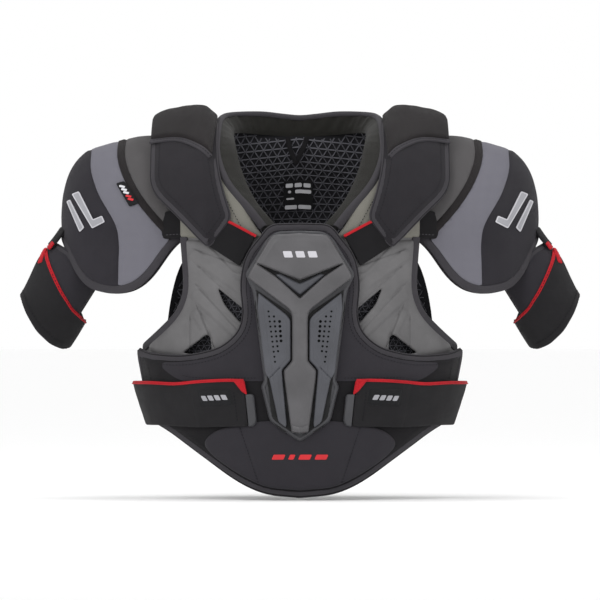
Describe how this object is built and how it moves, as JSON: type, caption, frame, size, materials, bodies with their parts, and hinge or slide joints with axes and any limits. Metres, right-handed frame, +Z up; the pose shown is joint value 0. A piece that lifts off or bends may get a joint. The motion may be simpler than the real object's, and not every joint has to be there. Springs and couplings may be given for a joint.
{
  "type": "hockey shoulder pads",
  "caption": "Ice hockey shoulder pads with shoulder caps, upper-arm guards, a moulded sternum plate, chest and back pads, and side straps.",
  "frame": {"origin": "middle of the neck opening, level with the tops of the wearer's shoulders", "axes": "+Z up, the wearer faces -Y, +X towards the wearer's left arm"},
  "size_m": [0.6228, 0.313, 0.4287],
  "materials": {
    "lattice_liner": "matte knitted liner with a raised triangular lattice",
    "neoprene": "matte fabric-faced neoprene",
    "moulded_grey": "fine-grained moulded foam and plastic",
    "vent_grey": "satin moulded plastic with perforations",
    "rubber_grey": "matte moulded rubber",
    "collar_fabric": "matte brushed fabric",
    "collarbone_fabric": "matte knitted fabric",
    "belly_fabric": "smooth matte fabric",
    "webbing": "ribbed webbing",
    "strap_elastic": "woven elastic",
    "label_cloth": "printed satin patch",
    "cap_fabric": "woven mesh over a moulded cap",
    "guard_fabric": "matte fabric-faced foam",
    "red_tape": "satin woven tape"
  },
  "bodies": {
    "torso": {"back_liner": "lattice_liner", "back_pad": "neoprene", "back_waist_pad": "neoprene", "back_plate_left": "moulded_grey", "back_plate_right": "moulded_grey", "spine_pad": "rubber_grey", "collar_pad": "collar_fabric", "hang_loop": "webbing", "size_label": "label_cloth", "shoulder_arch_left": "collarbone_fabric", "shoulder_arch_right": "collarbone_fabric", "chest_liner_left": "lattice_liner", "chest_liner_right": "lattice_liner", "chest_pad_left": "moulded_grey", "chest_pad_right": "moulded_grey", "front_harness_pad": "neoprene", "belly_panel": "belly_fabric", "sternum_base": "rubber_grey", "sternum_shell": "moulded_grey", "sternum_vent_left": "vent_grey", "sternum_vent_right": "vent_grey", "clavicle_strap_left": "webbing", "clavicle_strap_right": "webbing", "side_strap_anchor_left": "webbing", "side_strap_anchor_right": "webbing"},
    "flap_left": {"clavicle_flap_left": "neoprene", "flap_top_band_left": "neoprene"},
    "cap_left": {"cap_shell_left": "cap_fabric", "cap_liner_left": "lattice_liner", "cap_tether_left": "webbing"},
    "guard_left": {"bicep_guard_shell_left": "guard_fabric", "bicep_guard_liner_left": "lattice_liner", "bicep_strap_anchor_left": "webbing", "guard_link_left": "red_tape"},
    "arm_strap_left": {"bicep_strap_left": "strap_elastic", "bicep_pull_tab_left": "red_tape"},
    "side_strap_left": {"side_strap_left": "strap_elastic", "side_strap_tip_left": "rubber_grey", "side_pull_tab_left": "red_tape"},
    "flap_right": {"clavicle_flap_right": "neoprene", "flap_top_band_right": "neoprene"},
    "cap_right": {"cap_shell_right": "cap_fabric", "cap_liner_right": "lattice_liner", "cap_tether_right": "webbing"},
    "guard_right": {"bicep_guard_shell_right": "guard_fabric", "bicep_guard_liner_right": "lattice_liner", "bicep_strap_anchor_right": "webbing", "guard_link_right": "red_tape"},
    "arm_strap_right": {"bicep_strap_right": "strap_elastic", "bicep_pull_tab_right": "red_tape"},
    "side_strap_right": {"side_strap_right": "strap_elastic", "side_strap_tip_right": "rubber_grey", "side_pull_tab_right": "red_tape"}
  },
  "joints": [
    {"name": "cap_lift_left", "type": "hinge", "parent": "torso", "child": "cap_left", "pos_m": [0.142, 0, 0], "axis": [0, -1, 0], "range_deg": [0, 40]},
    {"name": "flap_lift_left", "type": "hinge", "parent": "torso", "child": "flap_left", "pos_m": [0.088, 0, 0.02], "axis": [0, -1, 0], "range_deg": [0, 10]},
    {"name": "guard_swing_left", "type": "hinge", "parent": "cap_left", "child": "guard_left", "pos_m": [0.246, 0, -0.128], "axis": [0, -1, 0], "range_deg": [-14, 10], "stiffness_Nm_per_rad": 2},
    {"name": "arm_strap_open_left", "type": "hinge", "parent": "guard_left", "child": "arm_strap_left", "pos_m": [0.3021, -0.0096, -0.1538], "axis": [-0.5299, 0, 0.848], "range_deg": [0, 60]},
    {"name": "side_strap_open_left", "type": "hinge", "parent": "torso", "child": "side_strap_left", "pos_m": [0.1534, 0.0912, -0.296], "axis": [0, 0, 1], "range_deg": [0, 60]},
    {"name": "cap_lift_right", "type": "hinge", "parent": "torso", "child": "cap_right", "pos_m": [-0.142, 0, 0], "axis": [0, 1, 0], "range_deg": [0, 40]},
    {"name": "flap_lift_right", "type": "hinge", "parent": "torso", "child": "flap_right", "pos_m": [-0.088, 0, 0.02], "axis": [0, 1, 0], "range_deg": [0, 10]},
    {"name": "guard_swing_right", "type": "hinge", "parent": "cap_right", "child": "guard_right", "pos_m": [-0.246, 0, -0.128], "axis": [0, 1, 0], "range_deg": [-14, 10], "stiffness_Nm_per_rad": 2},
    {"name": "arm_strap_open_right", "type": "hinge", "parent": "guard_right", "child": "arm_strap_right", "pos_m": [-0.3021, -0.0096, -0.1538], "axis": [-0.5299, 0, -0.848], "range_deg": [0, 60]},
    {"name": "side_strap_open_right", "type": "hinge", "parent": "torso", "child": "side_strap_right", "pos_m": [-0.1534, 0.0912, -0.296], "axis": [0, 0, -1], "range_deg": [0, 60]}
  ],
  "couplings": [
    {"joint": "flap_lift_left", "follows": "cap_lift_left", "ratio": 0.25},
    {"joint": "flap_lift_right", "follows": "cap_lift_right", "ratio": 0.25}
  ]
}
